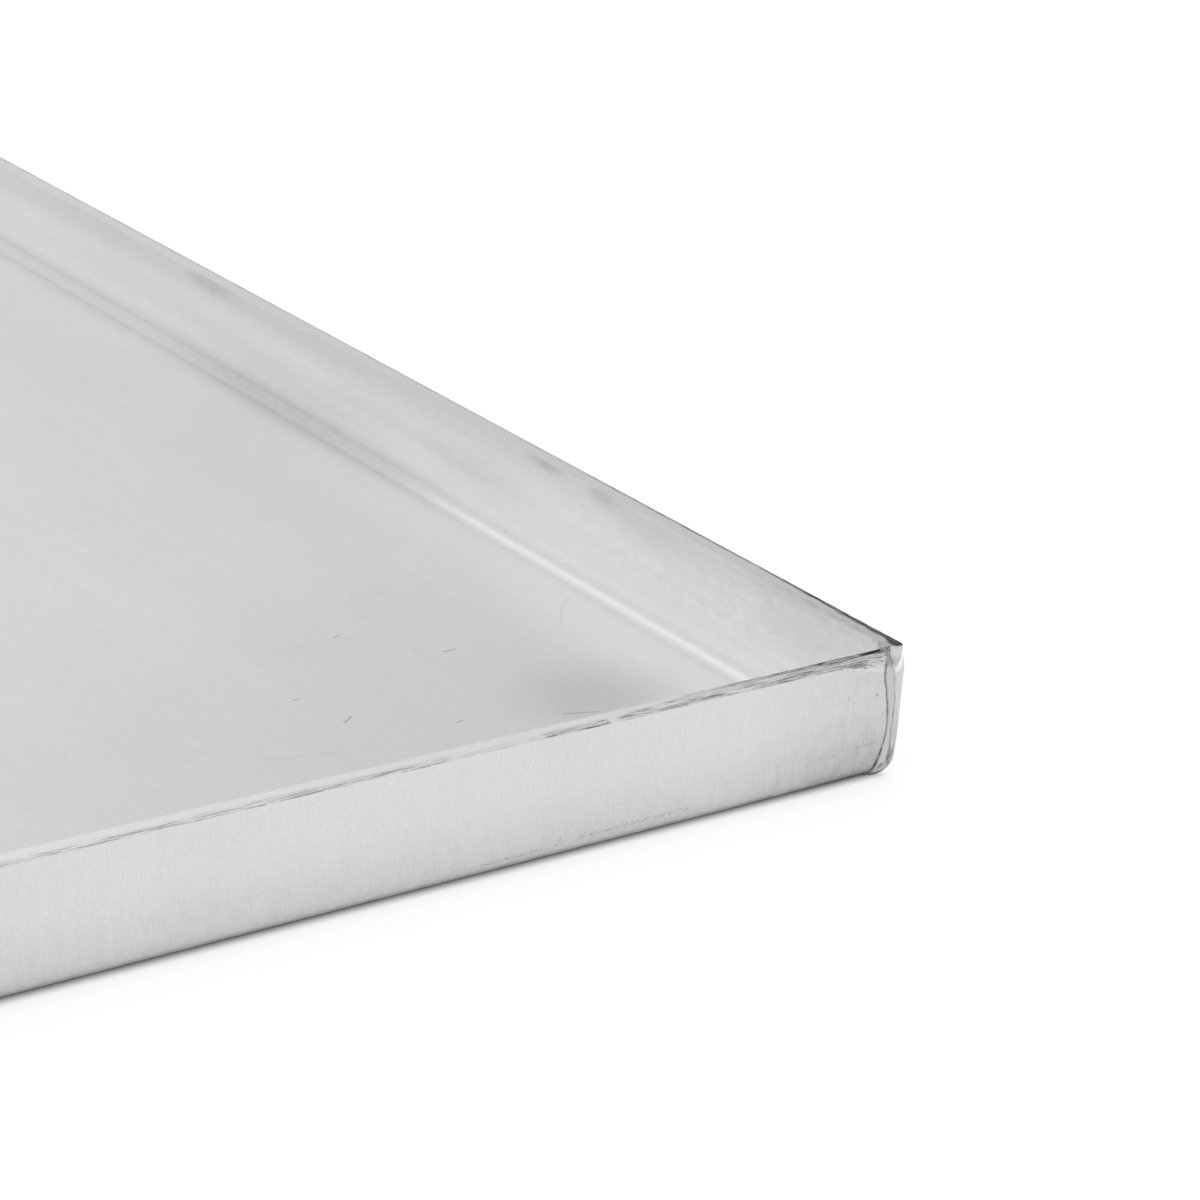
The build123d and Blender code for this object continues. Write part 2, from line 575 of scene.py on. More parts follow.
def side_strip(short, sign, fine):
    """One side between two corner patches, as an open strip whose ends have every station."""
    half = (WIDTH if short else LENGTH) / 2 - PATCH
    other = (LENGTH if short else WIDTH) / 2
    near = SHOWN[0] if short else SHOWN[1]
    bm = bmesh.new()

    def line(s, rows):
        along = near * (half - s)
        end = (PATCH + s) / MM
        end = min(end, (WIDTH if short else LENGTH) / MM - end)
        u, v = (end, 0.0) if short else (0.0, end)
        edge, lip = edge_rounds(short, sign, u, v)
        out = {}
        for i in rows:
            inset, z, _ = station_point(STATIONS[i], FOLD_OUTSIDE, edge, lip)
            if STATIONS[i][0] in ("top", "lip"):
                place = (end, inset / MM) if short else (inset / MM, end)
                z -= rim_drop(short, sign, inset, *place) * on_rim(z)
            across = sign * (other - inset)
            out[i] = bm.verts.new((along, across, z) if short else (across, along, z))
        return out

    places = side_places(2 * half, fine)
    every = range(len(STATIONS))
    first, last = line(places[0], every), line(places[-1], every)
    middle = [line(s, SIDE_ROWS) for s in places[1:-1]]
    for a, b in zip(middle, middle[1:]):
        for i, j in zip(SIDE_ROWS, SIDE_ROWS[1:]):
            bm.faces.new([a[i], a[j], b[j], b[i]])
    for end, row in ((first, middle[0]), (last, middle[-1])):
        for i, j in zip(SIDE_ROWS, SIDE_ROWS[1:]):
            bm.faces.new([row[i], row[j]] + [end[k] for k in range(j, i - 1, -1)])
    for f in bm.faces:
        f.smooth = True
    bmesh.ops.recalc_face_normals(bm, faces=bm.faces)
    return mesh_object("side", bm)


def join_sheet(parts):
    """One closed mesh of the corner patches and sides, with the two flat middles filled in."""
    bm = bmesh.new()
    for ob in parts:
        bm.from_mesh(ob.data)
        bpy.data.objects.remove(ob)
    bmesh.ops.remove_doubles(bm, verts=bm.verts, dist=0.002 * MM)
    bmesh.ops.holes_fill(bm, edges=[e for e in bm.edges if e.is_boundary], sides=0)
    bmesh.ops.recalc_face_normals(bm, faces=bm.faces)
    for f in bm.faces:
        f.material_index = 0
        f.smooth = True
    return mesh_object("tray_sheet", bm, mesh_name="folded_sheet")


# Fine lengths of the sides seen close in the photograph, and of the others
SHOWN_FINE = 95 * MM
OTHER_FINE = -50 * MM


def build_pieces():
    """The sheet, and the four welds by name."""
    parts = []
    welds = {}
    for name, signs in CORNERS.items():
        zone = bead_zone(signs)
        nub = nub_zone(signs)
        boolean(zone, nub, "UNION")
        patch = corner_patch(signs)
        weld = new_object("bead_" + name, patch.data.copy())
        boolean(weld, zone, "INTERSECT")
        boolean(patch, zone, "DIFFERENCE")
        drop_cuts(patch)
        bpy.data.objects.remove(nub)
        bpy.data.objects.remove(zone)
        welds[name] = weld
        parts.append(patch)
    for short, sign in ((True, -1), (True, 1), (False, 1), (False, -1)):
        shown = sign == (SHOWN[1] if short else SHOWN[0])
        parts.append(side_strip(short, sign, SHOWN_FINE if shown else OTHER_FINE))
    return join_sheet(parts), welds


sheet, welds = build_pieces()


# How far along the rim from a corner the black of the weld reaches, in millimetres
SCORCH_REACH = 48.0


def scorch(u, v, signs):
    """Black left by the weld along the rim near a corner, from 0 to 1."""
    seed = SEEDS[signs]
    grain = 0.75 + 0.5 * wobble(seed + u * 1.5, v * 1.5, 60.0)
    place = (v - 1.50 - 0.10 * wobble(seed, u * 2.5, 64.0)) / 0.07
    cracks = math.exp(-0.5 * place * place) * smooth(-0.15, 0.15, wobble(seed, u * 4.0, 67.0))
    cracks *= 1 - smooth(1.6, 1.9, u)
    if v < u:
        kept = smooth(0.95, 1.12, v) * (1 - smooth(6.0, 11.0, u)) * smooth(1.3, 1.7, u)
        faint = 0.60 * (1 - smooth(10.0, 24.0, u)) * smooth(1.1, 1.3, v)
        return min(1.0, max(kept * grain, faint * grain, cracks))
    width = (0.56 + 0.25 * wobble(seed, v * 0.9, 70.0)) * (1 - 0.55 * smooth(7.0, 18.0, v))
    width += 0.35 * (1 - smooth(1.9, 3.2, v))
    outer = 1 - smooth(width * 0.7, width * 1.25, u)
    along = 1.0 - 0.32 * smooth(2.5, 5.0, v) - 0.28 * smooth(9.0, 30.0, v)
    along -= 0.40 * smooth(30.0, SCORCH_REACH, v)
    start = smooth(1.2, 1.6, v)
    inner = 0.12 * (1 + 1.5 * wobble(seed + u * 2.0, v * 0.8, 73.0))
    inner *= smooth(0.7, 1.3, u) * (1 - smooth(9.0, 20.0, v))
    return min(1.0, max(outer * along * start * (0.95 + 0.4 * grain), cracks, inner))


def foot(u, v, z):
    """Painted shade along the tray's lower outer edge where it meets the floor, from 0 to 1. It is deeper
    near the welded corners.
    """
    near = 1 - smooth(2.0, 3.0, min(u, v))
    end = 1 - smooth(3.0, 15.0, max(u, v))
    level = min(1.0, 0.90 + 0.15 * end + 0.25 * wobble(u * 0.5, v * 0.5, 80.0))
    return near * (1 - smooth(0.15, 1.00 + 0.45 * end, z)) * level


def on_ground(u, v, z):
    """Whether a place is on the round-over ground on a short wall's rim."""
    radius = table_value(GROUND_SHORT, u)
    return v < min(radius, GROUND_MOST) and z > HEIGHT / MM - radius + 0.02


# Painted shade on the lower part of the walls' outside, by height in millimetres
LOW_PAINTED_SHADE = [
    (0.0, 0.60), (0.5, 0.52), (0.8, 0.38), (1.1, 0.28), (1.4, 0.19), (1.8, 0.14), (2.4, 0.11),
    (3.4, 0.08), (5.0, 0.03), (6.5, 0.0),
]


def haze(u, v, z):
    """Painted shade on the walls' outside: darker towards the bottom and towards the corners, and a touch
    lighter elsewhere. It is below 0, which is painted light, on the ground round-over of the rim.
    """
    if on_ground(u, v, z):
        radius = table_value(GROUND_SHORT, u)
        rise = 1 - (HEIGHT / MM - z) / radius
        if u < 1.9:
            return -0.26 * smooth(0.05, 0.30, rise)
        return -0.10 * smooth(0.20, 0.45, rise) * (1 - smooth(0.70, 0.95, rise))
    near = 1 - smooth(1.0, 1.4, min(u, v)) if z > 2.5 else 1.0
    corner = 1 - smooth(2.0, 17.0, max(u, v))
    return near * (-0.010 + 0.12 * corner + table_value(LOW_PAINTED_SHADE, z) * (1 + 0.9 * corner))


# The rim's face for the marks, as a depth below the top
RIM_SKIN = 0.14 * MM


def mark_vertices(ob):
    """Marks, in this order: the torn band of the rim; the black of seams and scorched edges, with the
    painted shade along the lower outer edge added in; painted shade and painted light on the walls' outside;
    and the tray's own inside."""
    mesh = ob.data
    count = len(mesh.vertices)
    rough, grime, shade_paint, inside = (np.zeros(count, np.float32) for _ in range(4))
    for i, vert in enumerate(mesh.vertices):
        x, y, z = vert.co
        signs = (1 if x > 0 else -1, 1 if y > 0 else -1)
        u = (WIDTH / 2 - abs(x)) / MM
        v = (LENGTH / 2 - abs(y)) / MM
        if z > HEIGHT - RIM_SKIN or on_ground(u, v, z / MM):
            short = v < u
            sign = signs[1] if short else signs[0]
            amount, width = rim_band(short, sign, u, v)
            across = v if short else u
            kept = smooth(1.7, 2.3, u) if short else float(z > HEIGHT - RIM_SKIN)
            rough[i] = kept * amount * (1 - smooth(width - 0.10, width + 0.12, across))
            if min(u, v) < 1.7 and max(u, v) < SCORCH_REACH:
                grime[i] = scorch(u, v, signs)
        if u < 4 and v < 4:
            grime[i] = max(grime[i], crack_depth(u, v, z / MM, signs))
            if nub_level(u, v, z / MM, signs) < 1.02:
                grime[i] = max(grime[i], 0.15 + 0.10 * wobble(u * 3, v * 3, z / MM * 3))
        # painted shade along the lower outer edge where the tray meets the floor, kept with the black of
        # seams
        if z < 0.8 * MM:
            grime[i] = max(grime[i], foot(u, v, z / MM))
        inside[i] = min(u, v) > 1.3 and z > 1.2 * MM
        # painted shade and painted light on the walls' outside
        shade_paint[i] = 0.0 if inside[i] or z < 0.01 * MM else haze(u, v, z / MM)
    for name, values in (("rough", rough), ("grime", grime), ("haze", shade_paint), ("inside", inside)):
        layer = mesh.attributes.new(name, "FLOAT", "POINT")
        layer.data.foreach_set("value", values)


# Limits of the map, in millimetres: a corner and a fold belong to the long wall and to the walls' own
# inside; on the rim's map the long and the short walls lie at two places far apart
CORNER_LIMIT, FLAT_FROM = 2.35, 5.0
INSIDE_FROM, INSIDE_ABOVE = 0.8, 1.2
LONG_RIM_AT, SHORT_RIM_AT = 1000.0, 3000.0


def map_blank(ob):
    """UV maps in millimetres: "blank" is the sheet laid flat, "edge" runs along and across the rim."""
    mesh = ob.data
    co = np.empty(len(mesh.vertices) * 3)
    mesh.vertices.foreach_get("co", co)
    co = co.reshape(-1, 3) / MM
    loops = np.empty(len(mesh.loops), np.int32)
    mesh.loops.foreach_get("vertex_index", loops)
    blank = np.empty((len(loops), 2), np.float32)
    edge = np.empty((len(loops), 2), np.float32)
    half_w, half_l, thick = WIDTH / 2 / MM, LENGTH / 2 / MM, SHEET / MM
    for poly in mesh.polygons:
        span = slice(poly.loop_start, poly.loop_start + poly.loop_total)
        p = co[loops[span]]
        c = p.mean(axis=0)
        sx, sy = (1 if c[0] > 0 else -1), (1 if c[1] > 0 else -1)
        du, dv = half_w - abs(c[0]), half_l - abs(c[1])
        long = du < max(dv, 0.0) or max(du, dv) < CORNER_LIMIT
        inner = (poly.normal.z > 0.2 and c[2] < 5) or (min(du, dv) > INSIDE_FROM and c[2] > INSIDE_ABOVE)
        axis, sign, half, rim_at = (0, sx, half_w, LONG_RIM_AT) if long else (1, sy, half_l, SHORT_RIM_AT)
        laid = p[:, :2].copy()
        if min(du, dv) <= FLAT_FROM:
            laid[:, axis] += sign * (p[:, 2] - (thick if inner else 0.0))
        blank[span] = laid
        edge[span, 0] = p[:, 1 - axis] + sign * rim_at
        edge[span, 1] = half - abs(p[:, axis])
    for name, values in (("blank", blank), ("edge", edge)):
        layer = mesh.uv_layers.new(name=name)
        layer.data.foreach_set("uv", values.ravel())


def weigh_normals(ob):
    """Large faces keep their own direction, so the flats stay flat beside the folds."""
    mod = ob.modifiers.new("normals", "WEIGHTED_NORMAL")
    mod.mode = "FACE_AREA"
    mod.weight = 60
    mod.keep_sharp = True
    replace_mesh(ob, evaluated_mesh(ob))


SHARP_ANGLE = math.radians(38)
for piece in [sheet, *welds.values()]:
    piece.data.set_sharp_from_angle(angle=SHARP_ANGLE)
    weigh_normals(piece)
    mark_vertices(piece)
    map_blank(piece)


class Nodes:
    """Node tree of a material or of the world, with short calls for the nodes used here."""

    def __init__(self, owner):
        owner.use_nodes = True
        self.material = owner
        self.tree = owner.node_tree
        self.shader = self.tree.nodes.get("Principled BSDF")

    def new(self, kind):
        return self.tree.nodes.new("ShaderNode" + kind)

    def put(self, socket, value):
        if isinstance(value, bpy.types.NodeSocket):
            self.tree.links.new(value, socket)
        else:
            socket.default_value = value

    def math(self, operation, a, b=0.0, clamp=False):
        node = self.new("Math")
        node.operation = operation
        node.use_clamp = clamp
        self.put(node.inputs[0], a)
        self.put(node.inputs[1], b)
        return node.outputs[0]

    def times(self, a, b):
        return self.math("MULTIPLY", a, b)

    def vector(self, operation, a, b=(0, 0, 0), out="Vector"):
        node = self.new("VectorMath")
        node.operation = operation
        self.put(node.inputs[0], a)
        if operation == "SCALE":
            self.put(node.inputs["Scale"], b)
        elif operation not in ("LENGTH", "ABSOLUTE"):
            self.put(node.inputs[1], b)
        return node.outputs[out]

    def uv(self, name):
        node = self.new("UVMap")
        node.uv_map = name
        return node.outputs["UV"]

    def place(self):
        """Place on the object, in millimetres."""
        node = self.new("TexCoord")
        return self.vector("SCALE", node.outputs["Object"], 1 / MM)

    def attribute(self, name):
        node = self.new("Attribute")
        node.attribute_name = name
        return node.outputs["Fac"]

    def noise(self, vector, pitch, detail=2.0, roughness=0.5, seed=0.0):
        """Noise from 0 to 1 whose grains are about pitch millimetres long in each direction."""
        moved = self.new("Mapping")
        moved.inputs["Scale"].default_value = [1.0 / p for p in pitch] + [1.0] * (3 - len(pitch))
        moved.inputs["Location"].default_value = (seed, seed * 0.7, seed * 1.3)
        self.put(moved.inputs["Vector"], vector)
        node = self.new("TexNoise")
        node.noise_dimensions = "2D" if len(pitch) == 2 else "3D"
        node.inputs["Scale"].default_value = 1.0
        node.inputs["Detail"].default_value = detail
        node.inputs["Roughness"].default_value = roughness
        self.put(node.inputs["Vector"], moved.outputs[0])
        return node.outputs["Fac"]

    def band(self, value, low, high, to_low=0.0, to_high=1.0):
        """to_low below low, to_high above high and an even curve between."""
        node = self.new("MapRange")
        node.interpolation_type = "SMOOTHSTEP"
        self.put(node.inputs["Value"], value)
        ends = (("From Min", low), ("From Max", high), ("To Min", to_low), ("To Max", to_high))
        for end, number in ends:
            self.put(node.inputs[end], number)
        return node.outputs[0]

    def hill(self, value, low, peak, high, power):
        """power at the peak, falling to 0 at low and high."""
        fall = self.band(value, peak, high, 0.0, power)
        return self.math("SUBTRACT", self.band(value, low, peak, 0.0, power), fall)

    def between(self, factor, a, b, kind="FLOAT"):
        """Number, or colour where kind is RGBA, that goes from a to b as factor goes from 0 to 1."""
        node = self.new("Mix")
        node.data_type = kind
        self.put(node.inputs["Factor"], factor)
        self.put(node.inputs["A"], a)
        self.put(node.inputs["B"], b)
        return node.outputs["Result"]

    def total(self, *values):
        out = values[0]
        for value in values[1:]:
            out = self.math("ADD", out, value)
        return out

    def centred(self, value, amount):
        """Noise from 0 to 1 turned into -amount to amount."""
        node = self.new("Math")
        node.operation = "MULTIPLY_ADD"
        self.put(node.inputs[0], value)
        node.inputs[1].default_value = 2 * amount
        node.inputs[2].default_value = -amount
        return node.outputs[0]

    def laid(self, vector, centre, angle, size):
        """Place seen from a centre, turned by an angle and divided by a size."""
        node = self.new("Mapping")
        node.vector_type = "TEXTURE"
        node.inputs["Location"].default_value = (*centre, 0)
        node.inputs["Rotation"].default_value = (0, 0, angle)
        node.inputs["Scale"].default_value = (*size, 1)
        self.put(node.inputs["Vector"], vector)
        return node.outputs[0]

    def line(self, vector, start, end, width, power):
        """power on the line from start to end and 0 away from it."""
        (x0, y0), (x1, y1) = start, end
        centre = ((x0 + x1) / 2, (y0 + y1) / 2)
        reach = math.hypot(x1 - x0, y1 - y0) / 2
        local = self.laid(vector, centre, math.atan2(y1 - y0, x1 - x0), (1, 1))
        past = self.vector("SUBTRACT", self.vector("ABSOLUTE", local), (reach, 0, 0))
        gap = self.vector("LENGTH", self.vector("MAXIMUM", past, (0, 0, 0)), out="Value")
        return self.band(gap, 0.0, width, power, 0.0)

    def spot(self, vector, centre, half, power, soft=0.2):
        """power in the middle of an ellipse and 0 outside it."""
        gap = self.vector("LENGTH", self.laid(vector, centre, 0.0, half), out="Value")
        return self.band(gap, soft, 1.0, power, 0.0)

    def dirty(self, colour, grime, patches):
        """(colour with dirt and painted shade over it, cover): the second argument says how much, broken up
        by patches.
        """
        cover = self.math("MULTIPLY", grime, patches, clamp=True)
        return self.between(cover, colour, GRIME_AND_SHADE, "RGBA"), cover

    def finish(self, colour, roughness, height, bump):
        """Links colour, roughness and a bump whose height is in units of bump metres."""
        self.put(self.shader.inputs["Base Color"], colour)
        self.put(self.shader.inputs["Roughness"], roughness)
        node = self.new("Bump")
        node.inputs["Strength"].default_value = 1.0
        node.inputs["Distance"].default_value = bump
        self.put(node.inputs["Height"], height)
        self.put(self.shader.inputs["Normal"], node.outputs["Normal"])
        return self.material

    def grey(self, base, value):
        """Colour base made lighter or darker by value, which is 1 for no change."""
        return self.vector("SCALE", base, value)

    def split(self, vector):
        node = self.new("SeparateXYZ")
        self.put(node.inputs[0], vector)
        return node.outputs


def new_metal(name):
    n = Nodes(bpy.data.materials.new(name))
    n.shader.inputs["Metallic"].default_value = 1.0
    return n


# Colours of the bare metal and of its dirt, which also serves as painted shade along the lower outer edge
METAL = (0.700, 0.702, 0.707)
WELD_METAL = (0.550, 0.552, 0.558)
GRIME_AND_SHADE = (0.030, 0.031, 0.036, 1.0)


def on_floor(u, v):
    """Place on the blank map of a point on the tray's floor, by its distances from the shown corner."""
    return WIDTH / 2 / MM - u, -LENGTH / 2 / MM + v


def on_front(u, z):
    """Place on the blank map of a point on the front wall's outside, by distance and height."""
    x, y = on_floor(u, 0.0)
    return x, y - z


def on_inner_face(v, z):
    """Place on the blank map of a point on the right wall's inside, by distance and height."""
    x, y = on_floor(INNER_FACE, v)
    return x + (z - SHEET / MM), y


def scratches(where, rows):
    """Lines for the material from rows of: start, end, half-width, strength."""
    return [(where(a, b), where(c, d), half, power) for a, b, c, d, half, power in rows]


# Distance of a wall's inside from its outside, in millimetres
INNER_FACE = 1.5

# Scratches near the shown corner
LIGHT_SCRATCHES = scratches(on_floor, [
    (49.2, 23.8, 44.7, 22.0, 0.10, 0.55),
    (35.1, 19.5, 31.2, 17.2, 0.09, 0.65),
    (58.0, 33.0, 47.0, 28.0, 0.10, 0.35),
    (19.7, 32.0, 18.7, 32.0, 0.16, 0.9),
    (66.0, 23.0, 57.0, 16.5, 0.10, 0.5),
])
DARK_SCRATCHES = scratches(on_floor, [
    (41.4, 21.2, 35.6, 19.6, 0.10, 0.55),
    (32.8, 23.9, 31.8, 24.6, 0.16, 1.5),
    (34.1, 28.9, 33.4, 29.0, 0.15, 1.1),
    (25.5, 20.2, 25.0, 20.3, 0.15, 1.4),
    (25.2, 37.5, 24.6, 37.8, 0.15, 1.1),
    (19.1, 31.5, 18.1, 31.5, 0.15, 1.5),
    (4.1, 36.2, 6.2, 34.2, 0.11, 0.55),
    (6.2, 34.2, 8.0, 31.8, 0.11, 0.55),
    (17.7, 17.9, 15.1, 17.0, 0.13, 1.3),
    (22.2, 43.4, 15.0, 43.4, 0.15, 0.20),
    (29.9, 36.9, 19.0, 32.2, 0.11, 0.25),
]) + scratches(on_front, [
    (63.6, 3.85, 51.3, 3.65, 0.11, 0.20),
    (9.3, 3.25, 6.2, 3.18, 0.09, 0.22),
    (5.2, 3.35, 3.0, 3.45, 0.10, 0.40),
    (4.10, 7.0, 3.95, 3.4, 0.12, 0.28),
    (4.75, 5.2, 4.70, 2.6, 0.10, 0.20),
    (3.48, 7.25, 3.40, 7.20, 0.16, 1.3),
    (6.10, 7.50, 6.02, 7.45, 0.13, 0.7),
])
BROKEN_SCRATCHES = scratches(on_front, [
    (36.8, 1.30, 32.0, 1.45, 0.42, 1.3),
    (29.0, 1.78, 19.8, 1.85, 0.34, 1.5),
    (31.0, 1.50, 30.8, 2.15, 0.22, 1.6),
])
# Darker patches on the right wall's inside, the long one low over the fold being painted shade that dims its
# highlight: place, half-sizes up and along, strength
DARK_PATCHES = [(on_inner_face(v, z), half, power) for v, z, half, power in (
    (44.0, 9.8, (1.0, 3.6), 0.20),
    (36.0, 9.7, (1.3, 3.0), 0.16),
    (30.0, 8.6, (1.8, 6.5), 0.05),
    (97.4, 9.4, (1.0, 6.0), 0.16),
    (13.0, 9.6, (0.7, 9.0), 0.07),
    (11.5, 7.2, (1.7, 7.0), 0.055),
    (54.0, 6.0, (2.4, 11.0), 0.085),
    (84.0, 2.6, (4.2, 26.0), 0.085),
    (68.0, 6.2, (1.3, 14.0), 0.045),
)]
# Painted shade: a darker patch on the tray's floor near the shown corner: centre, half-sizes, how much
# darker, its soft part
FLOOR_PATCH = (on_floor(13.0, 19.5), (10.5, 8.5), -0.125, 0.0)

# Where the inner fold of the long walls turns from its painted dark line and painted highlight to painted
# shade that dims the fold, as distances from the front end
FOLD_LIT_UNTIL, FOLD_DIMMED_FROM = 50.0, 67.0


def sheet_material():
    n = new_metal("sheet_metal")
    p = n.uv("blank")
    x, y, _ = n.split(p)
    side = n.math("ABSOLUTE", x)
    inside, haze = n.attribute("inside"), n.attribute("haze")
    fine = n.noise(p, (0.17, 1.3), 3.0, 0.65, 1.0)
    streak = n.noise(p, (0.8, 26.0), 2.0, 0.5, 7.0)
    peel = n.noise(p, (0.20, 0.24), 2.0, 0.6, 13.0)
    cloud = n.noise(p, (9.0, 15.0), 3.0, 0.55, 19.0)
    broad = n.noise(p, (38.0, 60.0), 1.0, 0.5, 23.0)
    mottle = n.noise(p, (0.9, 1.5), 3.0, 0.65, 31.0)
    sweep = n.noise(p, (1.7, 50.0), 2.0, 0.5, 41.0)
    grit = n.noise(p, (0.22, 0.50), 3.0, 0.7, 51.0)

    # Marks left by use and by the press, and darker patches on the right wall's inside
    light = n.total(*[n.line(p, *mark) for mark in LIGHT_SCRATCHES])
    dark = n.total(*[n.line(p, *mark) for mark in DARK_SCRATCHES])
    broken = n.total(*[n.line(p, *mark) for mark in BROKEN_SCRATCHES])
    dark = n.total(dark, n.times(broken, n.band(peel, 0.50, 0.62)))
    dark_patch = n.total(*[n.spot(p, *mark) for mark in DARK_PATCHES])
    dark_patch = n.times(dark_patch, n.band(mottle, 0.25, 0.75, 0.6, 1.3))

    # Inside of the long walls and their folds, by the blank's width in millimetres: near the front end a
    # painted dark line on each fold with a painted highlight just below it, further back painted shade that
    # dims the fold; also painted light and painted shade on the inner walls and on the floor beside them
    front = -LENGTH / 2 / MM
    painted_fold_line = n.hill(side, 148.45, 148.90, 149.60, 0.17)
    fold_shade_and_highlight = n.math("SUBTRACT", painted_fold_line, n.hill(side, 147.1, 147.6, 148.1, 0.035))
    fold_dimming = n.hill(side, 147.1, 148.50, 150.8, 0.24)
    fold_dimming = n.times(fold_dimming, n.band(y, front + 85.0, front + 130.0, 1.0, 0.85))
    fold = n.between(n.band(y, front + FOLD_LIT_UNTIL, front + FOLD_DIMMED_FROM), fold_shade_and_highlight, fold_dimming)
    near = n.times(n.band(side, 149.8, 152.5), n.band(y, front + 18.0, front + 48.0, 1.0, 0.0))
    painted_floor_shade = n.band(y, front + 15.0, front + 60.0, -0.055, -0.018)
    painted_wall_light = n.band(y, front + 5.0, front + 60.0, 0.050, 0.0)
    wall = n.total(
        # darker patches on the right wall's inside, one of them painted shade over the fold
        n.times(dark_patch, -1.0),
        # painted shade and painted highlight on the inner fold
        n.times(fold, -1.0),
        n.times(n.centred(mottle, 0.075), near),
        n.times(n.centred(sweep, 0.055), n.band(side, 148.5, 150.5)),
        # painted light: the inner walls lighter
        n.band(side, 148.6, 149.9, 0.0, 0.16),
        n.band(side, 154.0, 156.8, 0.0, -0.105),
        # painted shade on the floor near the front wall, and painted light on the inner walls near the front
        n.between(n.band(side, 138.0, 146.0), painted_floor_shade, painted_wall_light),
        # painted light on the floor beside the fold, lighter towards it
        n.hill(side, 134.0, 142.0, 147.4, 0.020),
        n.hill(side, 141.0, 147.2, 148.3, 0.060),
        # painted shade: the darker patch on the floor near the shown corner
        n.spot(p, *FLOOR_PATCH),
    )

    shade = n.total(
        1.0,
        n.centred(fine, 0.062),
        n.centred(streak, 0.020),
        n.centred(peel, 0.055),
        n.centred(mottle, 0.020),
        n.centred(cloud, 0.034),
        n.centred(broad, 0.026),
        n.times(light, 0.10),
        n.times(dark, -0.26),
        n.times(wall, inside),
        # painted shade on the walls' outside, and painted light on the ground round-over
        n.times(n.times(haze, n.band(mottle, 0.25, 0.75, 1.15, 0.85)), -1.0),
        n.times(n.centred(grit, 0.055), n.math("SUBTRACT", 1.0, inside)),
    )
    colour = n.grey(METAL, shade)
    # dirt, and painted shade along the lower outer edge
    colour, cover = n.dirty(colour, n.attribute("grime"), n.band(fine, 0.25, 0.65, 0.80, 1.15))
    roughness = n.total(0.40, n.centred(fine, 0.05), n.centred(cloud, 0.05))
    roughness = n.total(roughness, n.times(cover, 0.25))
    height = n.total(n.centred(fine, 0.5), n.centred(peel, 0.5))
    return n.finish(colour, roughness, height, 0.0045 * MM)


def rim_material():
    n = new_metal("cut_edge")
    p = n.uv("edge")
    rough, grime = n.attribute("rough"), n.attribute("grime")
    bend = n.centred(n.noise(p, (1.6, 3.0), 2.0, 0.5, 5.0), 0.14)
    shifted = n.new("CombineXYZ")
    n.put(shifted.inputs[1], bend)
    p = n.vector("ADD", p, shifted.outputs[0])
    kind = n.band(n.math("ABSOLUTE", n.split(p)[0]), LONG_RIM_AT + 500, SHORT_RIM_AT - 500, 0.84, 1.04)
    tear = n.noise(p, (3.2, 0.13), 4.0, 0.62, 2.0)
    tear_fine = n.noise(p, (0.35, 0.05), 3.0, 0.6, 9.0)
    polish = n.noise(p, (2.4, 0.12), 2.0, 0.5, 17.0)
    cloud = n.noise(p, (3.0, 0.9), 2.0, 0.5, 29.0)
    torn = n.times(rough, n.band(cloud, 0.30, 0.60, 0.55, 1.0))
    dark = n.band(n.total(tear, n.centred(tear_fine, 0.14)), 0.43, 0.54, 1.0, 0.0)
    shade = n.total(
        1.03,
        n.centred(polish, 0.05),
        n.centred(cloud, 0.03),
        n.times(torn, -0.02),
        n.times(n.times(torn, dark), -0.66),
        # painted light on the ground round-over, and painted shade where the walls' outside reaches the rim
        n.times(n.attribute("haze"), -1.0),
    )
    colour = n.grey(METAL, n.times(shade, kind))
    colour, cover = n.dirty(colour, grime, n.band(tear, 0.34, 0.60, 1.60, 0.60))
    roughness = n.total(0.34, n.times(torn, 0.2), n.centred(polish, 0.05))
    roughness = n.total(roughness, n.times(cover, 0.2))
    height = n.total(n.times(n.centred(tear, 1.0), torn), n.centred(polish, 0.15))
    return n.finish(colour, roughness, height, 0.012 * MM)


def weld_material():
    n = new_metal("weld_metal")
    p = n.place()
    dressed = n.noise(p, (0.5, 0.5, 1.8), 3.0, 0.6, 1.0)
    lumps = n.noise(p, (0.45, 0.45, 0.75), 3.0, 0.55, 5.0)
    fine = n.noise(p, (0.12, 0.12, 0.35), 2.0, 0.6, 11.0)
    grime = n.attribute("grime")
    shade = n.total(1.0, n.centred(dressed, 0.07), n.centred(lumps, 0.06), n.centred(fine, 0.05))
    colour = n.grey(WELD_METAL, shade)
    # dirt, and painted shade at the nub's foot where it meets the floor
    colour, cover = n.dirty(colour, grime, n.band(fine, 0.3, 0.7, 0.8, 1.15))
    roughness = n.total(0.33, n.centred(dressed, 0.07), n.times(cover, 0.3))
    height = n.total(n.centred(dressed, 0.6), n.centred(lumps, 1.0), n.centred(fine, 0.3))
    return n.finish(colour, roughness, height, 0.012 * MM)


def give_materials(ob, *materials):
    ob.data.materials.clear()
    for material in materials:
        ob.data.materials.append(material)


# The cut edge's material: on the rim's face and on the round-over ground there, by slope and depth
RIM_NORMAL, RIM_DEPTH = 0.9, 0.12 * MM
GROUND_NORMAL, GROUND_DEPTH = 0.30, 1.6 * MM

give_materials(sheet, sheet_material(), rim_material())
for poly in sheet.data.polygons:
    flat = poly.normal.z > RIM_NORMAL and poly.center.z > HEIGHT - RIM_DEPTH
    ground = poly.normal.z > GROUND_NORMAL and poly.center.z > HEIGHT - GROUND_DEPTH
    poly.material_index = 1 if flat or ground else 0
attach(sheet, "root")
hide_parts("folded_sheet")
weld_metal = weld_material()
for name, weld in welds.items():
    give_materials(weld, weld_metal)
    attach(weld, "root")
    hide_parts("weld_" + name)


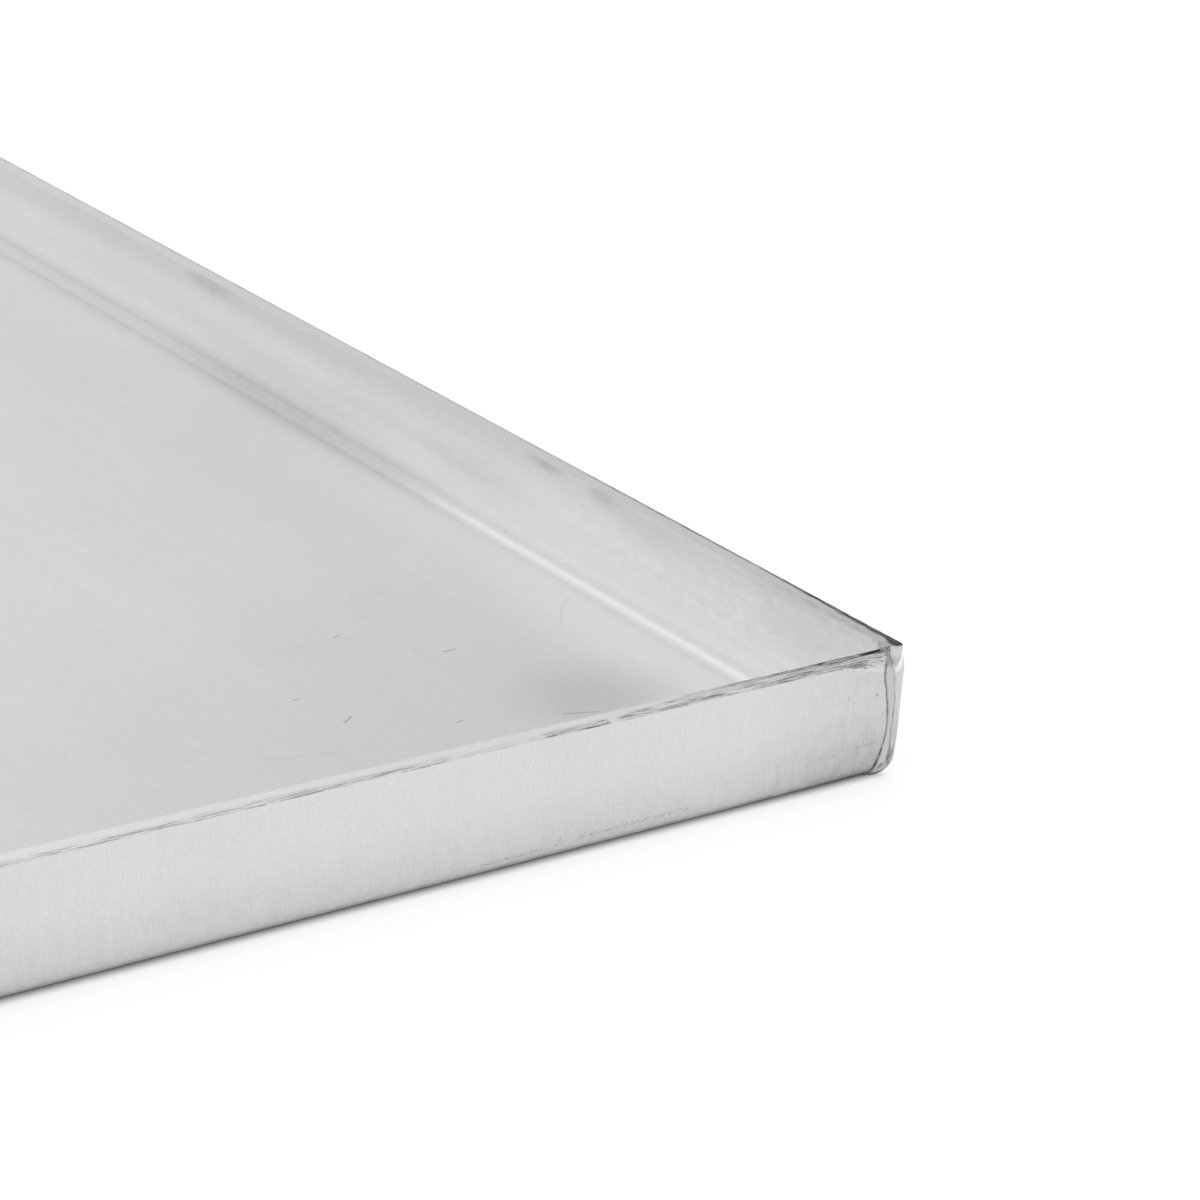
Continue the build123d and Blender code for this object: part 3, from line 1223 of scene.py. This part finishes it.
# Camera, placed from the shown corner's outer planes
CAMERA_OFFSET = (-158.161 * MM, -166.952 * MM, 104.653 * MM)
YAW, PITCH, ROLL = (math.radians(a) for a in (37.7407, 22.035, -4.3423))
FOCAL_PX = 3466.3
FRAME_PX = 1200
SENSOR = 36.0


def make_camera():
    forward = Vector((math.sin(YAW) * math.cos(PITCH), math.cos(YAW) * math.cos(PITCH), -math.sin(PITCH)))
    level = Vector((math.cos(YAW), -math.sin(YAW), 0.0))
    down = forward.cross(level)
    right = math.cos(ROLL) * level + math.sin(ROLL) * down
    up = math.sin(ROLL) * level - math.cos(ROLL) * down
    data = bpy.data.cameras.new("camera")
    data.sensor_width = SENSOR
    data.lens = FOCAL_PX / FRAME_PX * SENSOR
    data.clip_start = 0.01
    cam = new_object("camera", data)
    turn = Matrix((right, up, -forward)).transposed().to_4x4()
    corner = Vector((SHOWN[0] * WIDTH / 2, SHOWN[1] * LENGTH / 2, 0.0))
    cam.matrix_world = Matrix.Translation(corner + Vector(CAMERA_OFFSET)) @ turn
    bpy.context.scene.camera = cam


make_camera()

# Floor: a grey surface that keeps the tray's shadow, with a white glow seen by camera, mirror and
# transmission rays; the glow fades out towards the tray's outline, which paints a darker contact shadow
# there
FLOOR_SIZE = 3.0
FLOOR_COLOUR = (0.30, 0.30, 0.30, 1.0)
FLOOR_WHITE = 0.77
WHITE_FROM, WHITE_TO = -2.15 * MM, -0.6 * MM


def make_floor():
    bpy.ops.mesh.primitive_plane_add(size=2 * FLOOR_SIZE, location=(0, 0, -0.02 * MM))
    floor = bpy.context.object
    floor.name = "floor"
    n = Nodes(bpy.data.materials.new("floor"))
    n.shader.inputs["Base Color"].default_value = FLOOR_COLOUR
    n.shader.inputs["Roughness"].default_value = 0.9
    n.shader.inputs["Specular IOR Level"].default_value = 0.0
    path = n.new("LightPath")
    seen = n.math("MAXIMUM", path.outputs["Is Camera Ray"], path.outputs["Is Glossy Ray"])
    seen = n.math("MAXIMUM", seen, path.outputs["Is Transmission Ray"])
    n.shader.inputs["Emission Color"].default_value = (1, 1, 1, 1)

    x, y, _ = n.split(n.new("TexCoord").outputs["Object"])
    past_x = n.math("SUBTRACT", n.math("ABSOLUTE", x), WIDTH / 2)
    past_y = n.math("SUBTRACT", n.math("ABSOLUTE", y), LENGTH / 2)
    # painted shadow: no white glow close to the tray's outline
    white = n.band(n.math("MAXIMUM", past_x, past_y), WHITE_FROM, WHITE_TO, 0.0, FLOOR_WHITE)
    n.put(n.shader.inputs["Emission Strength"], n.times(seen, white))
    floor.data.materials.append(n.material)


make_floor()

# World: pale studio light in parts: strengths from the front, back, left and right, low down and
# higher up, and from above
WORLD_LOW = (1.00, 1.10, 1.14, 0.90)
WORLD_HIGH = (0.86, 1.06, 1.30, 0.44)
WORLD_TOP = 0.98
# One broad soft light behind the tray: its direction, the cosines of its edge and core, its strength
WORLD_LAMP = ((-0.04, 0.73, 0.68), 0.90, 0.985, 0.19)


def make_world():
    world = bpy.data.worlds.new("studio")
    bpy.context.scene.world = world
    n = Nodes(world)
    back = n.tree.nodes["Background"]
    view = n.new("TexCoord").outputs["Generated"]
    x, y, z = n.split(view)
    flat = n.math("MAXIMUM", n.total(n.times(x, x), n.times(y, y)), 1e-4)
    sides = []
    for axis, sign in ((y, -1.0), (y, 1.0), (x, -1.0), (x, 1.0)):
        part = n.math("MAXIMUM", n.times(axis, sign), 0.0)
        sides.append(n.math("DIVIDE", n.times(part, part), flat))
    low = n.total(*[n.times(side, power) for side, power in zip(sides, WORLD_LOW)])
    high = n.total(*[n.times(side, power) for side, power in zip(sides, WORLD_HIGH)])
    rise, crown = n.band(z, 0.05, 0.35), n.band(z, 0.5, 0.9)
    light = n.between(crown, n.between(rise, low, high), WORLD_TOP)
    aim, edge, core, power = WORLD_LAMP
    toward = n.vector("DOT_PRODUCT", view, Vector(aim).normalized(), out="Value")
    n.put(back.inputs["Strength"], n.total(light, n.band(toward, edge, core, 0.0, power)))
    back.inputs["Color"].default_value = (1, 1, 1, 1)


make_world()
bpy.context.scene.view_settings.view_transform = "Standard"
